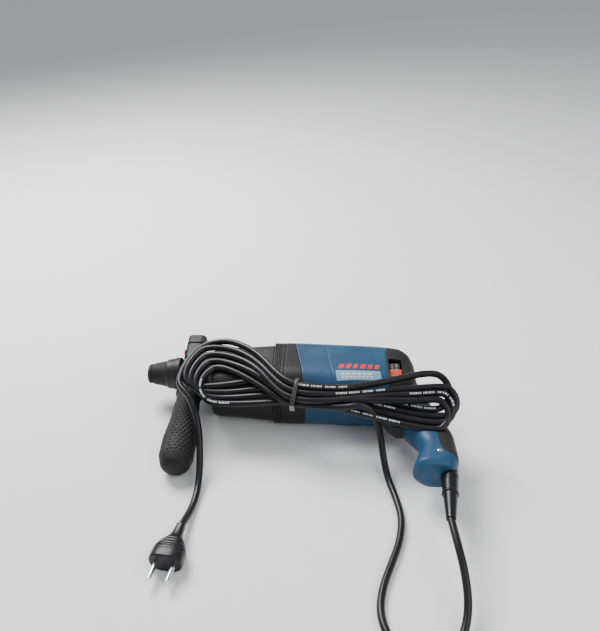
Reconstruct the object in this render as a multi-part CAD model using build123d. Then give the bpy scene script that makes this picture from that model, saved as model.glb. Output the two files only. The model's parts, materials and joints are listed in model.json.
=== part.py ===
from build123d import *
import math
import os

# Rotary hammer, lying on its right side. Millimetres.
# Origin: mouth of the tool holder's bore, on the spindle axis.
# +X towards the rear, +Y towards the tool's top, +Z towards its left side, which is up.
# It lies on its housing's flat right side, at Z = -HALF_WIDTH, and so does the free cord.

# ---- driving dimensions ----
WALL = 2.6               # moulded wall
FIT = 0.03               # running fit, on the radius
GAP = 0.35               # clearance between pieces that move or meet loosely
RACE = 4.0               # shaft journal radius in the small bearings

MOTOR_Y = -18.125        # motor axis
INTER_Y = -38.125        # intermediate shaft axis
PINION_TEETH = 7
DRIVEN_TEETH = 33
MOTOR_MODULE = 1.0
DRIVE_TEETH = 26
SPINDLE_TEETH = 35
SPINDLE_MODULE = 1.25

BIT_R = 5.05             # bore for a 10 mm shank
GUIDE_LENGTH = 14.0      # plain front stretch of the bore
HOLDER_R = 11.5
TUBE_R = 15.5
TUBE_BORE_R = 13.0
CAP_END_X = 22.6
SLEEVE_X = (23.0, 42.0)
SLEEVE_TRAVEL = 6.0
SLEEVE_R = 21.5
SLEEVE_BORE_R = 15.3
COLLAR_R = 21.5          # clamping neck, 43 mm across
COLLAR_X = (SLEEVE_X[1] + SLEEVE_TRAVEL + 0.4, 80.0)
NECK_BORE_R = 18.2
TUBE_END_X = 121.0
BALL_R = 3.5
BALL_X = 27.0
BUSH_X = (110.0, 116.0)
BUSH_R = 19.0
PISTON_PIN_X = 133.0
PISTON_PIN_R = 4.0
SPINDLE_GEAR_X = (96.0, 106.0)
DRIVEN_GEAR_X = (148.0, 156.0)
FLANGE_X = 159.0         # front face of the aluminium plate

GEAR_END_X = 166.0       # gear housing meets the joint collar
COLLAR_END_X = 187.0     # joint collar meets the motor housing
SEAM_X = (228.0, 241.0)  # slanted seam, at the top and at the bottom
HALF_WIDTH = 41.5
SKIN = 1.3               # rubber skin on the back of the housing and grip
SHELL_SCREWS = [(272.0, -59.0), (272.0, 14.0), (300.0, -59.0), (346.0, -66.0), (346.0, -126.0),
                (344.0, -158.0)]
SCREW_PLACES = [(y, side * 23.5) for y in (13.0, -49.0) for side in (-1, 1)]
TOP_Y = 30.0
BELLY_Y = -67.0
REAR_X = 342.0

STATOR_X = (206.0, 258.0)
STATOR_R = 31.0
ROTOR_R = 19.0
SHAFT_R = 5.0
MOTOR_BEARING_R = 11.0
SMALL_BEARING_R = 8.0
FRONT_NEEDLE_R = 9.0
COMMUTATOR_R = 12.0
BRUSH_X = (288.0, 300.0)
WINDOW_X = (309.0, 325.0)
WINDOW_Y = (-54.0, -20.0)
LEVER_ANGLE = 39.0
LEVER_PAD_TOP = 46.0

KNOB_X, KNOB_Y = 134.0, -18.0
KNOB_R, KNOB_STEM_R = 15.0, 8.0
KNOB_SEAT_Z = 37.7
KNOB_TOP_Z = 42.3
MODE_BUTTON_R = 3.0

GRIP_HALF = 17.0
TRIGGER_HALF = 8.0
TRIGGER_TRAVEL = 6.0
LOCK_X, LOCK_Y, LOCK_R = 328.0, -97.0, 4.5
LOCK_TOP_Z = 21.2

BAND_X = (49.0, 66.0)
HANDLE_X = 57.0
HANDLE_TILT = 9.0        # the side handle droops this many degrees below level
HANDLE_END = 156.0
HANDLE_SWELL_R = 20.0
BAND_FIT = 0.15          # the loosened band turns on the neck with this clearance
SADDLE_R = COLLAR_R + 6.5
FOOT_TOP = COLLAR_R + 2.5    # where the clamp bolt leaves the band's foot
GRIP_START = COLLAR_R + 7.9
BOLT_R = 3.0
BOLT_END = 63.0
STUB_TOP = 63.0
STUB_SPLIT = 49.0        # the depth button's cap lies above, the holder below its stroke
STUB_HALF = (12.5, 13.0)
STUB_SHIFT = 3.0         # the stub stands this far forward of the band
ROD_HOLE_R = 4.1
ROD_HOLE_Y = 34.0
BUTTON_HALF = 8.0
BUTTON_DEPTH = 6.0

CORD_R = 4.0
RELIEF_R = 9.5
PLUG_DIR_DEG = -99.0
PLUG_LENGTH = 48.0
PIN_R = 2.4
PIN_LENGTH = 19.0
PIN_SPACING = 18.6
RELIEF_TOP = (364.0, -181.0)
RELIEF_END = (356.0, -240.0)

# Route points chosen by hand: lead from the strain relief to the hank, hank to the plug.
LEAD_POINTS = [(356, -240, 0), (358, -265, -3), (362, -292, -13), (362, -320, -26),
               (353, -345, -35), (333, -361, -37.5), (308, -361, -37.5), (288, -345, -37.5),
               (281, -319, -37.5), (286, -291, -37.5), (297, -264, -37.5), (308, -236, -37.4),
               (313, -207, -37.4), (309, -178, -37.3), (302, -152, -34.5), (298, -131, -23),
               (295.5, -117, -5), (291, -110, 12), (284, -103, 27)]
PLUG_POINTS = [(66, -76, 25), (73, -88, 19), (79, -101, 10), (83, -115, -2), (85, -131, -15),
               (86.5, -148, -26), (87, -166, -34), (86, -186, -36.8), (83, -207, -35), (79.5, -227, -29)]
# Hank: x, middle y, middle z, half length, half thickness, lean in degrees.
HANK = [(50, -60, 29, 12, 4, 14), (58, -52, 32, 31, 6.5, 15), (76, -41, 34, 48, 9, 16),
        (100, -37, 33, 50, 10, 18), (140, -50, 34, 38, 12, 24), (176, -77, 34.5, 19, 12, 31),
        (195.5, -85.5, 34.5, 17, 11.5, 33), (216, -88.5, 34.3, 17, 11.5, 34), (250, -92, 32, 17, 10, 34),
        (300, -94, 32, 26, 9, 30), (345, -97, 35.5, 37, 8.5, 27), (372, -98, 36.5, 33, 8, 26),
        (387, -98, 37, 16, 4.5, 26)]
WAIST = 6                # the tie holds the hank at this section
TIE_WIDTH = 5.0
TIE_THICK = 1.5

# Outer sections of the housings: x, top, bottom, half width, corner radius.
GEAR_SECTIONS = [(78.0, 23.5, -27.0, 23.5, 19.0), (92.0, 25.5, -58.5, 33.0, 21.0),
                 (130.0, 26.0, -61.0, 36.0, 24.0), (GEAR_END_X, 27.0, -64.0, 38.5, 25.0)]
COLLAR_SECTIONS = [(GEAR_END_X, TOP_Y, BELLY_Y + 1, HALF_WIDTH, 27.0),
                   (COLLAR_END_X, TOP_Y, BELLY_Y, HALF_WIDTH, 27.0)]
BODY_SECTIONS = [(COLLAR_END_X, TOP_Y, BELLY_Y, HALF_WIDTH, 27.0),
                 (225.0, 28.5, BELLY_Y - 1, HALF_WIDTH, 28.0),
                 (262.0, 26.5, BELLY_Y - 5, HALF_WIDTH, 29.0),
                 (300.0, 25.0, BELLY_Y - 6, 39.5, 28.0), (324.0, 22.0, BELLY_Y - 5, 37.5, 27.0),
                 (336.0, 14.0, BELLY_Y + 1, 33.0, 25.0), (REAR_X, 3.0, BELLY_Y + 10, 26.0, 22.0)]
# Outer sections of the grip: front point, rear point, half thickness.
GRIP_SECTIONS = [((300, -56), (347, -30), 22), ((305, -82), (356, -64), 19.5),
                 ((321, -114), (369, -100), GRIP_HALF), ((336, -142), (377, -132), GRIP_HALF + 0.5),
                 ((330, -163), (377, -158), GRIP_HALF + 2), ((325.5, -174), (374, -172), GRIP_HALF + 3),
                 ((331, -181), (370, -180.9), GRIP_HALF)]


# ---- helpers ----
def rod(x0, x1, radius, y=0.0, z=0.0):
    """Cylinder along X from x0 to x1."""
    return Pos((x0 + x1) / 2, y, z) * Rot(0, 90, 0) * Cylinder(radius, x1 - x0)


def ring(x0, x1, outer, inner, y=0.0):
    """Tube along X from x0 to x1."""
    return rod(x0, x1, outer, y) - rod(x0 - 1, x1 + 1, inner, y)


def block(x0, x1, y0, y1, z0, z1):
    """Box between two corners."""
    return Pos((x0 + x1) / 2, (y0 + y1) / 2, (z0 + z1) / 2) * Box(x1 - x0, y1 - y0, z1 - z0)


def post(x, y, z0, z1, radius):
    """Cylinder along Z from z0 to z1."""
    return Pos(x, y, (z0 + z1) / 2) * Cylinder(radius, z1 - z0)


def turned(points, y=0.0):
    """Solid of revolution about the X axis at height y; points are (x, radius)."""
    outline = Polyline([(x, y + radius) for x, radius in points], close=True)
    return revolve(make_face(outline), Axis((0, y, 0), (1, 0, 0)))


def prism(points, z0, z1):
    """Polygon in X and Y, from z0 to z1."""
    face = make_face(Polyline(points, close=True))
    return extrude(Pos(0, 0, z0) * face, z1 - z0)


def cross_section(x, top, bottom, half, corner, inset):
    """Rounded rectangle across X, moved inwards by inset."""
    plane = Plane(origin=(x, (top + bottom) / 2, 0), x_dir=(0, 1, 0), z_dir=(1, 0, 0))
    return plane * RectangleRounded(top - bottom - 2 * inset, 2 * (half - inset), corner - inset)


def hull(sections, inset=0.0):
    """Solid through rounded rectangles along X."""
    return loft([cross_section(*s, inset) for s in sections], ruled=True)


def grip_hull(inset=0.0):
    """Solid through the grip's tilted sections."""
    faces = []
    for number, (front, rear, half) in enumerate(GRIP_SECTIONS):
        length = math.dist(front, rear)
        direction = ((rear[0] - front[0]) / length, (rear[1] - front[1]) / length, 0)
        middle = ((front[0] + rear[0]) / 2, (front[1] + rear[1]) / 2, 0)
        if number == len(GRIP_SECTIONS) - 1:
            middle = (middle[0], middle[1] + inset, 0)
        plane = Plane(origin=middle, x_dir=direction, z_dir=(direction[1], -direction[0], 0))
        corner = min(half * 0.9, length / 2 * 0.9) - inset
        faces.append(plane * RectangleRounded(length - 2 * inset, 2 * (half - inset), corner))
    return loft(faces, ruled=True)


def gear_teeth(x0, x1, teeth, module, y, phase, bore):
    """Spur gear along X with straight-flanked teeth, thin enough to leave backlash."""
    pitch_r = teeth * module / 2
    tip_r = pitch_r + 0.62 * module
    root_r = pitch_r - 0.95 * module
    step = 2 * math.pi / teeth
    corners = []
    for tooth in range(teeth):
        middle = phase + tooth * step
        for radius, share in ((root_r, -0.30), (tip_r, -0.11), (tip_r, 0.11), (root_r, 0.30)):
            angle = middle + share * step
            corners.append((radius * math.cos(angle), radius * math.sin(angle)))
    plane = Plane(origin=(x0, y, 0), x_dir=(0, 1, 0), z_dir=(1, 0, 0))
    face = make_face(plane * Polyline(corners, close=True))
    return extrude(face, x1 - x0, dir=(1, 0, 0)) - rod(x0 - 1, x1 + 1, bore, y)


def seam_side(front):
    """Half space in front of or behind the slanted seam, as a big prism."""
    top, bottom = (SEAM_X[0] - 6, 60), (SEAM_X[1] + 6, -100)
    far = 0 if front else REAR_X + 120
    return prism([top, (far, 60), (far, -230), (bottom[0], -230), bottom], -80, 80)


# ---- housings ----
def gear_housing():
    outer = hull(GEAR_SECTIONS)
    neck = ring(COLLAR_X[0], COLLAR_X[1], COLLAR_R, NECK_BORE_R)
    body = outer - hull(GEAR_SECTIONS, WALL)
    seat_plate = block(86, 92, -70, -17, -40, 40) & hull(GEAR_SECTIONS, 1.0)
    bush_plate = block(*BUSH_X, -80, 40, -50, 50) & hull(GEAR_SECTIONS, 1.0)
    body = body + seat_plate + (bush_plate - rod(100, 120, 7.0, INTER_Y))
    body = body - rod(84, 94, FRONT_NEEDLE_R + FIT, INTER_Y) - rod(70, 125, TUBE_R + 1.5)
    body = body - rod(BUSH_X[0] - 4, BUSH_X[1] + 4, BUSH_R + FIT)
    gear_tip = SPINDLE_MODULE * (SPINDLE_TEETH / 2 + 0.62)
    body = body - rod(SPINDLE_GEAR_X[0] - 1, SPINDLE_GEAR_X[1] + 1, gear_tip + GAP)
    knob_hole = post(KNOB_X, KNOB_Y, 20, 60, KNOB_STEM_R + GAP)
    return neck + (body - rod(70, 82, NECK_BORE_R)) - knob_hole


def joint_collar():
    shell = hull(COLLAR_SECTIONS) - hull(COLLAR_SECTIONS, WALL)
    return shell + screw_bosses(GEAR_END_X, COLLAR_END_X, COLLAR_SECTIONS)


def screw_bosses(x0, x1, sections):
    """Four bosses along X in the corners, with screw holes."""
    bosses = None
    for y, z in SCREW_PLACES:
        boss = rod(x0, x1, 5.0, y, z)
        corner = block(x0, x1, min(y, y * 3), max(y, y * 3), min(z, z * 2), max(z, z * 2))
        boss = boss + (corner & rod(x0, x1, 16.0, y, z)) - rod(x0 - 1, x1 + 1, 2.1, y, z)
        boss = boss & hull(sections, 1.0)
        bosses = boss if bosses is None else bosses + boss
    return bosses


def body_outer(inset=0.0):
    return hull(BODY_SECTIONS, inset) + grip_hull(inset)


def body_shell():
    """The blue housing with its ribs and bosses, before it is divided."""
    solid_core = body_outer(1.0)
    shell = body_outer() - body_outer(WALL)
    for x in (STATOR_X[0] + 3, STATOR_X[1] - 7):
        rib = block(x, x + 4, -90, 50, -60, 60) & solid_core
        shell = shell + (rib - rod(x - 1, x + 5, STATOR_R + FIT, MOTOR_Y))
    shell = shell + (block(318, 322, -70, 60, -14, 14) & solid_core)
    for x, y in SHELL_SCREWS:
        shell = shell + (post(x, y, -60, 60, 4.8) & solid_core)
    shell = shell - rod(310, 330, MOTOR_BEARING_R + FIT, MOTOR_Y)
    for x, y in SHELL_SCREWS:
        shell = shell - post(x, y, -60, screw_tip(x) + 1, 2.03) - post(x, y, -60, -9, 3.8)
    shell = shell - prism(trigger_outline(GAP), -TRIGGER_HALF - GAP, TRIGGER_HALF + GAP)
    shell = shell - rod(COLLAR_END_X - 1, COLLAR_END_X + 4, 36, MOTOR_Y)
    shell = shell - post(LOCK_X, LOCK_Y, 9, 60, LOCK_R + GAP)
    return shell - side_windows() - relief_axis() * Pos(0, 0, -3) * Cylinder(RELIEF_R + FIT, 30)


def side_windows():
    """Openings for the direction levers, one in each side, half a turn apart."""
    low, high = WINDOW_Y
    return [block(*WINDOW_X, low, high, 22, 60),
            block(*WINDOW_X, 2 * MOTOR_Y - high, 2 * MOTOR_Y - low, -60, -22)]


def relief_axis():
    """Place at the strain relief's root with local +Z running out along it."""
    dx = RELIEF_END[0] - RELIEF_TOP[0]
    dy = RELIEF_END[1] - RELIEF_TOP[1]
    length = math.hypot(dx, dy)
    return Plane(origin=(*RELIEF_TOP, 0), x_dir=(0, 0, 1), z_dir=(dx / length, dy / length, 0)).location


def soft_zone():
    """Outline of the rear soft cover: back of the housing and of the grip."""
    beyond = REAR_X + 60
    return prism([(313, 60), (306.5, -10), (306.5, -60), (326, -74), (350, -112), (357, -142),
                  (360, -156), (366, -163), (374, -168), (beyond, -178), (beyond, 60)], -80, 80)


def motor_housing(shell):
    return (shell & seam_side(True)) + (screw_bosses(COLLAR_END_X, 203, BODY_SECTIONS)
                                        - rod(COLLAR_END_X - 2, 206, 32.5, MOTOR_Y))


def soft_cover():
    """Rubber skin moulded over the back of the housing and of the grip."""
    skin = (body_outer() - body_outer(SKIN)) & soft_zone()
    return skin - side_windows() - relief_axis() * Pos(0, 0, -3) * Cylinder(RELIEF_R + FIT, 30)


def handle_half(shell, cover, side):
    """One clamshell: the part behind the seam, on one side of the middle plane."""
    zone = block(200, REAR_X + 60, -230, 80, *((0, 80) if side > 0 else (-80, 0)))
    return (shell & seam_side(False) & zone) - cover


def inner_flange():
    """Aluminium plate between the gears and the motor, with the bearing seats."""
    plate = block(FLANGE_X, GEAR_END_X - 0.2, -80, 40, -50, 50) & hull(GEAR_SECTIONS, WALL + 0.1)
    plate = plate - rod(150, 170, MOTOR_BEARING_R + FIT, MOTOR_Y)
    plate = plate - rod(150, 170, SMALL_BEARING_R + FIT, INTER_Y)
    for y, z in SCREW_PLACES:
        plate = plate - rod(150, 170, 2.1, y, z)
    return plate


# ---- hammer side ----
def tool_holder():
    body = turned([(0, 0), (0, HOLDER_R - 2.5), (2.5, HOLDER_R), (62, HOLDER_R), (62, TUBE_R), (70, TUBE_R),
                   (70, 0)])
    bore = rod(-1, 44, BIT_R) + rod(GUIDE_LENGTH, GUIDE_LENGTH + 1, BIT_R + 0.6) + rod(44, 71, 8.0)
    slots = post(BALL_X, 0, -20, 20, BALL_R + 0.1)
    keys = None
    for side in (-1, 1):
        key = block(GUIDE_LENGTH + 2, 42, min(side * 3.6, side * 5.6), max(side * 3.6, side * 5.6), -1.2, 1.2)
        keys = key if keys is None else keys + key
    return body - bore - slots + keys


def locking_balls():
    return [Pos(BALL_X, 0, side * (HOLDER_R - BALL_R + 0.35)) * Sphere(BALL_R) for side in (-1, 1)]


def dust_cap():
    outline = [(-2, 5.7), (-2, 10.6), (-1, 12.3), (2.5, 12.8), (3, 12.1), (4, 12.1), (5, 13.6), (15, 15.6),
               (21, 17.0), (CAP_END_X, 17.0), (CAP_END_X, HOLDER_R + FIT), (2.5, HOLDER_R + FIT),
               (-0.2, HOLDER_R - 2.7), (-0.2, 5.7)]
    return turned(outline)


def locking_sleeve():
    x0, x1 = SLEEVE_X
    outline = [(x0, HOLDER_R + 0.6), (x0, SLEEVE_R - 3.6), (x0 + 1.5, SLEEVE_R - 2.4), (x0 + 7, SLEEVE_R - 1.6),
               (x0 + 13, SLEEVE_R), (x1 - 1.5, SLEEVE_R), (x1, SLEEVE_R - 1), (x1, SLEEVE_BORE_R),
               (x0 + 7, SLEEVE_BORE_R), (x0 + 7, HOLDER_R + 0.6)]
    return turned(outline)


def stop_ring():
    return ring(SLEEVE_X[1] - 1.8, SLEEVE_X[1] - 0.4, SLEEVE_BORE_R - 0.3, HOLDER_R)


def sleeve_spring():
    """Conical spring, drawn at its solid length against the stop washer."""
    coils = None
    for turn in range(4):
        x = SLEEVE_X[1] - 6 + turn
        outer = HOLDER_R + 1.4 + 0.3 * turn
        coil = turned([(x, HOLDER_R + 0.2), (x, outer), (x + 1.1, outer), (x + 1.1, HOLDER_R + 0.2)])
        coils = coil if coils is None else coils + coil
    return coils


def piston():
    body = rod(104, 121, TUBE_BORE_R - FIT) - rod(100, 116, 10.0)
    fork = block(120, 139, -9, 9, -9, 9) & rod(110, 140, TUBE_BORE_R - FIT)
    fork = fork - block(125, 141, -20, 20, -5.2, 5.2)
    return body + fork - post(PISTON_PIN_X, 0, -15, 15, PISTON_PIN_R)


def piston_pin():
    pin = post(PISTON_PIN_X, 0, -8.5, 8.5, PISTON_PIN_R - FIT)
    return pin - Pos(PISTON_PIN_X, 0, 0) * Rot(90, 0, 0) * Cylinder(3.4, 30)


def wobble_ring():
    """Ring that rocks on the drum, with the finger that drives the piston pin."""
    x = PISTON_PIN_X
    rocker = turned([(x - 5, 15), (x - 5, 10.9), (x - 2.5, 11.7), (x, 12), (x + 2.5, 11.7), (x + 5, 10.9),
                     (x + 5, 15)], INTER_Y)
    finger = Pos(x, INTER_Y + 28.7, 0) * Rot(90, 0, 0) * Cylinder(2.5, 29.4)
    return rocker + finger


def intermediate_shaft():
    x0, x1 = FLANGE_X - 1, FLANGE_X + 5
    return turned([(87, 0), (87, RACE), (92, RACE), (92, SHAFT_R), (x0, SHAFT_R), (x0, RACE), (x1, RACE),
                   (x1, 0)], INTER_Y)


def wobble_drum():
    x = PISTON_PIN_X
    return turned([(x - 7, SHAFT_R), (x - 7, 9.1), (x - 3.5, 10.9), (x, 11.5), (x + 3.5, 10.9), (x + 7, 9.1),
                   (x + 7, SHAFT_R)], INTER_Y)


# ---- motor ----
def armature_shaft():
    x0 = 146.0
    stem = turned([(x0, 0), (x0, 2.5), (157, 2.5), (157, RACE), (168, RACE), (168, SHAFT_R), (316, SHAFT_R),
                   (316, RACE), (323, RACE), (323, 0)], MOTOR_Y)
    return stem + gear_teeth(x0 + 1, 157, PINION_TEETH, MOTOR_MODULE, MOTOR_Y, 0.0, 2.0)


def armature_core():
    core = ring(*STATOR_X, ROTOR_R, SHAFT_R, MOTOR_Y)
    slots = None
    for number in range(12):
        angle = 30 * number
        slot = block(STATOR_X[0] - 1, STATOR_X[1] + 1, ROTOR_R - 6, ROTOR_R + 1, -1, 1)
        slot = on_plate(slot, angle)
        slots = slot if slots is None else slots + slot
    return core - slots


def armature_windings():
    front = ring(STATOR_X[0] - 9, STATOR_X[0], ROTOR_R - 2, SHAFT_R, MOTOR_Y)
    rear = ring(STATOR_X[1], STATOR_X[1] + 10, ROTOR_R - 2, SHAFT_R, MOTOR_Y)
    return [front, rear]


def fan():
    disc = ring(176, 179, 29, SHAFT_R, MOTOR_Y) + ring(176, 188, 9, SHAFT_R, MOTOR_Y)
    for number in range(9):
        disc = disc + on_plate(block(178.5, 188, 8.5, 28, -0.8, 0.8), 40 * number)
    return disc


def commutator():
    body = ring(276, 302, COMMUTATOR_R, SHAFT_R, MOTOR_Y)
    for number in range(12):
        body = body - on_plate(block(279, 303, COMMUTATOR_R - 0.8, COMMUTATOR_R + 1, -0.4, 0.4), 30 * number)
    return body


def stator_core():
    ring_part = ring(*STATOR_X, STATOR_R, STATOR_R - 5, MOTOR_Y)
    poles = None
    for side in (-1, 1):
        ends = sorted((side * (ROTOR_R - 2), side * (STATOR_R - 4)))
        pole = on_plate(block(*STATOR_X, -15, 15, *ends), 0)
        poles = pole if poles is None else poles + pole
    return ring_part + poles - rod(200, 262, ROTOR_R + 0.5, MOTOR_Y)


def field_coils():
    """A coil beyond each end of the stator."""
    outer, inner = STATOR_R - 3, ROTOR_R + 1.5
    return [ring(STATOR_X[0] - 8, STATOR_X[0], outer, inner, MOTOR_Y),
            ring(STATOR_X[1], STATOR_X[1] + 8, outer, inner, MOTOR_Y)]


def on_plate(shape, angle):
    """Turn a shape about the motor axis."""
    return Pos(0, MOTOR_Y, 0) * Rot(angle, 0, 0) * shape


def brush_plate():
    """Turning plate that carries the brushes, with an arm to each side window."""
    plate = ring(BRUSH_X[0], BRUSH_X[0] + 4, 31.5, COMMUTATOR_R + 1, MOTOR_Y)
    arm = block(BRUSH_X[0], WINDOW_X[0] + 4, -4, 4, 26, 31)
    box = block(BRUSH_X[0] + 3.9, BRUSH_X[1], 12.6, 27, -5, 5) - block(280, 310, 12, 26, -3.2, 3.2)
    for half_turn in (0, 180):
        plate = plate + on_plate(arm, LEVER_ANGLE + half_turn) + on_plate(box, half_turn)
    return plate


def direction_levers():
    """Finger pads of the direction lever, one in each side window."""
    pad = block(WINDOW_X[0] + 1, WINDOW_X[1] - 1, -5.5, 5.5, 31, LEVER_PAD_TOP)
    pad = fillet(pad.edges().filter_by(Axis.Z), 1.2)
    return [on_plate(pad, LEVER_ANGLE + half_turn) for half_turn in (0, 180)]


def brushes():
    carbon = block(BRUSH_X[0] + 5, BRUSH_X[1] - 1, COMMUTATOR_R + 0.1, 22, -3.1, 3.1)
    return [on_plate(carbon, angle) for angle in (0, 180)]


# ---- grip ----
def trigger_outline(grow=0.0):
    g = grow
    return [(300 - g, -83 + g), (299 - g, -93), (304 - g, -103), (313 - g, -114 - g),
            (322 + TRIGGER_TRAVEL * (g > 0) + g, -114 - g), (316 + TRIGGER_TRAVEL * (g > 0) + g, -83 + g)]


def strain_relief():
    place = relief_axis()
    length = math.dist(RELIEF_TOP, RELIEF_END)
    outline = Polyline([(0, -10), (RELIEF_R - 1, -10), (RELIEF_R - 1, -6), (RELIEF_R, -6), (RELIEF_R, 4),
                        (9.0, 8), (8.2, 24), (8.8, 25), (8.8, 27), (7.6, 28), (5.0, length), (0, length)],
                       close=True)
    body = revolve(make_face(Plane.XZ * outline), Axis.Z)
    return place * body


# ---- side handle ----
def handle_frame():
    """Place at the collar's axis with local +Z out along the grip, and local +Y along X."""
    tilt = math.radians(HANDLE_TILT)
    return Plane(origin=(HANDLE_X, 0, 0), x_dir=(0, -math.sin(tilt), math.cos(tilt)),
                 z_dir=(0, -math.cos(tilt), -math.sin(tilt))).location


def stub_block(z0, z1):
    """Rounded block of the handle's stub, from z0 to z1 away from the grip."""
    body = Pos(0, STUB_SHIFT, -(z0 + z1) / 2) * Box(2 * STUB_HALF[0], 2 * STUB_HALF[1], z1 - z0)
    return fillet(body.edges().filter_by(Axis.Z), 8)


def handle_holder():
    """Moulded block over the collar, with the depth rod's hole and the stub above."""
    button_seat = STUB_SPLIT - 3
    saddle = Cylinder(SADDLE_R, BAND_X[1] - BAND_X[0], rotation=(90, 0, 0))
    saddle = saddle & (Pos(0, 0, -20) * Box(40, 30, 40))
    body = stub_block(COLLAR_R + 2.5, button_seat) + saddle
    body = body - Cylinder(COLLAR_R + 2.4, 60, rotation=(90, 0, 0))
    body = body - Pos(0, 0, -ROD_HOLE_Y) * Cylinder(ROD_HOLE_R, 60, rotation=(90, 0, 0))
    width = 2 * BUTTON_HALF + 2 * GAP
    return handle_frame() * (body - Pos(0, STUB_SHIFT, -button_seat) * Box(width, width, 2 * BUTTON_DEPTH))


def depth_button():
    stem = Pos(0, STUB_SHIFT, 3 - STUB_SPLIT) * Box(2 * BUTTON_HALF, 2 * BUTTON_HALF, 6.2)
    return handle_frame() * (stub_block(STUB_SPLIT, STUB_TOP) + stem)


def clamp_band():
    """Steel band round the collar, drawn together under the grip."""
    band = Cylinder(COLLAR_R + 2.0, 12, rotation=(90, 0, 0)) - Cylinder(COLLAR_R + BAND_FIT, 40, rotation=(90, 0, 0))
    foot = Pos(0, 0, FOOT_TOP + 2) * Box(14, 12, 6) - Cylinder(COLLAR_R + BAND_FIT, 40, rotation=(90, 0, 0))
    return handle_frame() * (band + foot - Pos(0, 0, FOOT_TOP + 2) * Cylinder(BOLT_R + 0.2, 20))


def clamp_bolt():
    return handle_frame() * Pos(0, 0, (FOOT_TOP + BOLT_END) / 2) * Cylinder(BOLT_R, BOLT_END - FOOT_TOP)


def side_grip():
    start, swell, end = GRIP_START, HANDLE_SWELL_R, HANDLE_END
    outline = Polyline([(0, start), (15, start), (17.5, start + 2.6), (17.5, start + 8.6), (15.5, start + 12.6),
                        (15, 60), (15.8, 80), (18, 100), (swell, 122), (swell - 0.4, 136), (17, end - 9),
                        (11, end - 2.5), (0, end)], close=True)
    body = revolve(make_face(Plane.XZ * outline), Axis.Z)
    return handle_frame() * (body - Pos(0, 0, BOLT_END / 2 + 1) * Cylinder(BOLT_R + FIT, BOLT_END))


def mode_knob():
    """Mode selector: a round knob with a finger bar and a shift pin inside."""
    disc = post(KNOB_X, KNOB_Y, KNOB_SEAT_Z, KNOB_SEAT_Z + 2.2, KNOB_R)
    bar = block(KNOB_X - 13, KNOB_X + 13, KNOB_Y - 4.6, KNOB_Y + 4.6, KNOB_SEAT_Z + 2, KNOB_TOP_Z)
    stem = post(KNOB_X, KNOB_Y, 25, KNOB_SEAT_Z, KNOB_STEM_R)
    well = post(KNOB_X + 5, KNOB_Y, KNOB_SEAT_Z + 1, KNOB_TOP_Z + 2, MODE_BUTTON_R + GAP)
    return disc + bar + stem - well


def mode_button():
    return post(KNOB_X + 5, KNOB_Y, KNOB_SEAT_Z + 2.2, KNOB_TOP_Z + 0.4, MODE_BUTTON_R)


def trigger():
    return prism(trigger_outline(), -TRIGGER_HALF, TRIGGER_HALF)


def lock_button():
    return post(LOCK_X, LOCK_Y, LOCK_TOP_Z - 9, LOCK_TOP_Z, LOCK_R)


def switch_module():
    half = GRIP_HALF - WALL - 0.4
    return block(334, 352, -112, -88, -half, half) + block(330, 334, -112, -88, -9.5, 9.5)


def cable_clamp():
    return relief_axis() * Pos(0, 0, -12.2) * Box(15, 8, 4)


def striker():
    return rod(84, 96, TUBE_BORE_R - FIT) - ring(88, 90.4, 20, 11.2)


def striker_ring():
    return ring(88.1, 90.3, TUBE_BORE_R - 0.1, 11.25)


def beat_piece():
    return turned([(46, 0), (46, 4.9), (54, 4.9), (54, 7.96), (68, 7.96), (68, 5.5), (75, 5.5), (75, 0)])


# ---- cord ----
def cord_tube(points):
    """Straight runs joined by tangent arcs; prints the arc radii and the section-length check."""
    vectors = [Vector(*point) for point in points]
    radii = []
    for before, here, after in zip(vectors, vectors[1:], vectors[2:]):
        turn = math.radians((here - before).get_angle(after - here))
        shorter = min((here - before).length, (after - here).length)
        radii.append(0.45 * shorter / math.tan(turn / 2))
    path = FilletPolyline(*vectors, radius=radii)
    start = Plane(origin=vectors[0], z_dir=vectors[1] - vectors[0])
    tube = sweep(start * Circle(CORD_R), path=path)
    print("arc radii", [round(radius, 1) for radius in radii])
    print("length", round(path.length, 1), "volume ratio",
          round(tube.volume / (math.pi * CORD_R ** 2 * path.length), 4))
    return tube


def hank(cuts):
    """The folded cord's outer shape, resting on the housings."""
    faces = []
    for x, y, z, half, thick, lean in HANK:
        angle = math.radians(lean)
        plane = Plane(origin=(x, y, z), x_dir=(0, math.cos(angle), math.sin(angle)), z_dir=(1, 0, 0))
        faces.append(plane * RectangleRounded(2 * half, 2 * thick, thick * 0.85))
    body = loft(faces, ruled=True)
    for cut in cuts:
        body = body - cut
    return body.solids().sort_by(SortBy.VOLUME)[-1]


def cord_tie():
    """Flat strap round the waist of the hank."""
    x, y, z, half, thick, lean = HANK[WAIST]
    angle = math.radians(lean)
    along = (0, math.cos(angle), math.sin(angle))
    plane = Plane(origin=(x - TIE_WIDTH / 2, y, z), x_dir=along, z_dir=(1, 0, 0))
    outline = plane * RectangleRounded(2 * half + 2 * TIE_THICK, 2 * thick + 2 * TIE_THICK, thick)
    return extrude(outline, TIE_WIDTH, dir=(1, 0, 0))


def plug_frame():
    """Place at the plug's cord end, local +Z along the pins, local +X up."""
    angle = math.radians(PLUG_DIR_DEG)
    direction = (math.cos(angle), math.sin(angle), 0)
    return Plane(origin=PLUG_POINTS[-1], x_dir=(0, 0, 1), z_dir=direction).location


def plug_body():
    sizes = [(0, 9.6, 9.6, 3.5), (14, 11, 13, 4), (24, 18, 26, 6), (34, 24, 34, 8), (PLUG_LENGTH, 25, 35, 8)]
    faces = [Plane(origin=(0, 0, z)) * RectangleRounded(high, wide, corner) for z, high, wide, corner in sizes]
    return plug_frame() * loft(faces, ruled=True)


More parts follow.
